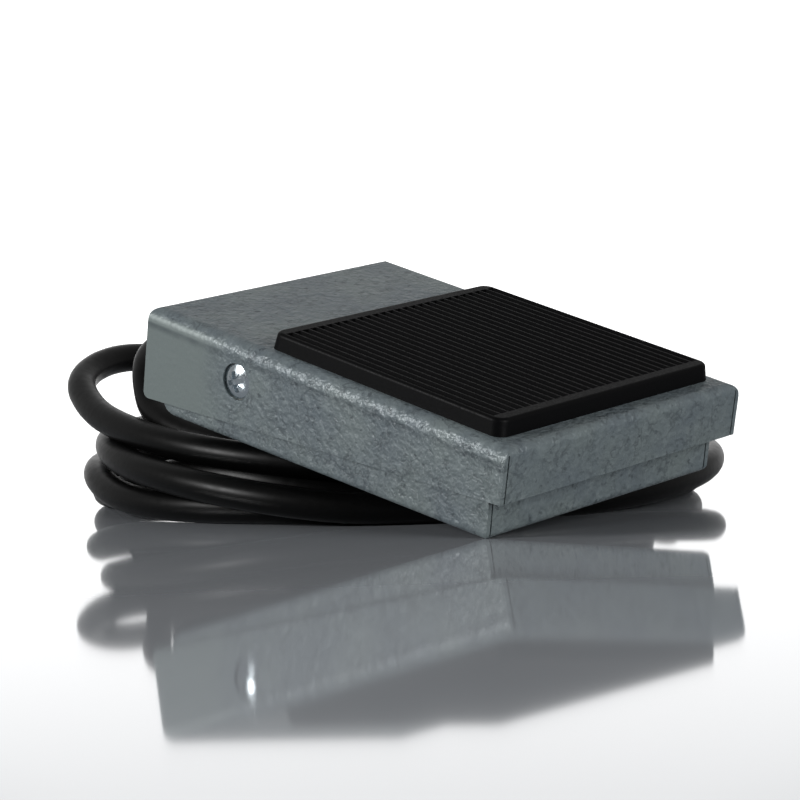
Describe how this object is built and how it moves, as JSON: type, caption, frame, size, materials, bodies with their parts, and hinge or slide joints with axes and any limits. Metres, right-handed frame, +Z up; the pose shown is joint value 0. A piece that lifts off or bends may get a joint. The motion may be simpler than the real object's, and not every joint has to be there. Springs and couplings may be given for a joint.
{
  "type": "foot switch",
  "caption": "Small metal foot switch: a folded cover with a ribbed rubber pad pivots on a folded tray over a micro switch, with a coiled lead and jack plug.",
  "frame": {"origin": "middle of the switch's own bounding box at floor level, as it stands pictured, lead and plug left out", "axes": "+Z up from the floor; +Y level, towards the raised back edge where the lead leaves; +X to the right seen from the front edge. The switch lies tipped back 15 degrees and to its left 7.5 degrees on its coiled lead."},
  "size_m": [0.152, 0.1737, 0.0542],
  "materials": {
    "hammertone_paint": "grey-blue hammertone enamel on steel sheet",
    "pad_rubber": "moulded black rubber, ribbed",
    "white_nylon": "natural nylon",
    "spring_steel": "spring steel",
    "zinc_steel": "bright zinc plate",
    "case_plastic": "moulded phenolic",
    "button_plastic": "red acetal",
    "terminal_brass": "tinned brass",
    "core_brown": "brown insulation",
    "core_blue": "blue insulation",
    "cord_jacket": "black jacket, satin",
    "boot_rubber": "black rubber",
    "plug_nickel": "nickel plate"
  },
  "bodies": {
    "base": {"base_tray": "hammertone_paint", "return_spring": "spring_steel", "spring_seat": "zinc_steel", "pivot_screw_left": "zinc_steel", "pivot_screw_right": "zinc_steel", "pivot_nut_left": "zinc_steel", "pivot_nut_right": "zinc_steel", "pivot_spacer_left": "white_nylon", "pivot_spacer_right": "white_nylon", "switch_bracket": "zinc_steel", "bracket_studs": "zinc_steel", "bracket_nuts": "zinc_steel", "switch_case": "case_plastic", "switch_terminals": "terminal_brass", "switch_screws": "zinc_steel", "switch_nuts": "zinc_steel", "core_common": "core_brown", "core_contact": "core_blue", "cord_tie": "white_nylon", "strain_relief": "boot_rubber", "cord_inside": "cord_jacket", "cord_lead": "cord_jacket", "cord_coil": "cord_jacket", "cord_tail": "cord_jacket", "plug_boot": "boot_rubber", "plug_barrel": "plug_nickel", "plug_sleeve": "plug_nickel", "plug_ring": "case_plastic", "plug_tip": "plug_nickel"},
    "pedal": {"pedal_cover": "hammertone_paint", "rubber_pad": "pad_rubber", "actuator_peg": "white_nylon", "spring_cap": "white_nylon"},
    "lever": {"switch_lever": "spring_steel"},
    "button": {"switch_button": "button_plastic"}
  },
  "joints": [
    {"name": "pedal_hinge", "type": "hinge", "parent": "base", "child": "pedal", "pos_m": [-0.00029, 0.021, 0.0346], "axis": [0.9914, -0.034, 0.1267], "range_deg": [0, 4], "stiffness_Nm_per_rad": 2.3, "springref_deg": -4.58, "deforming": ["return_spring"]},
    {"name": "lever_hinge", "type": "hinge", "parent": "base", "child": "lever", "pos_m": [-0.00071, 0.00471, 0.03357], "axis": [0.9914, -0.034, 0.1267], "range_deg": [0, 8.4]},
    {"name": "button_slide", "type": "slide", "parent": "base", "child": "button", "axis": [0.1312, 0.2566, -0.9576], "range_m": [0, 0.00147]}
  ],
  "couplings": [
    {"joint": "lever_hinge", "follows": "pedal_hinge", "ratio": 2.0256},
    {"joint": "button_slide", "follows": "pedal_hinge", "m_per_rad": 0.020391}
  ]
}
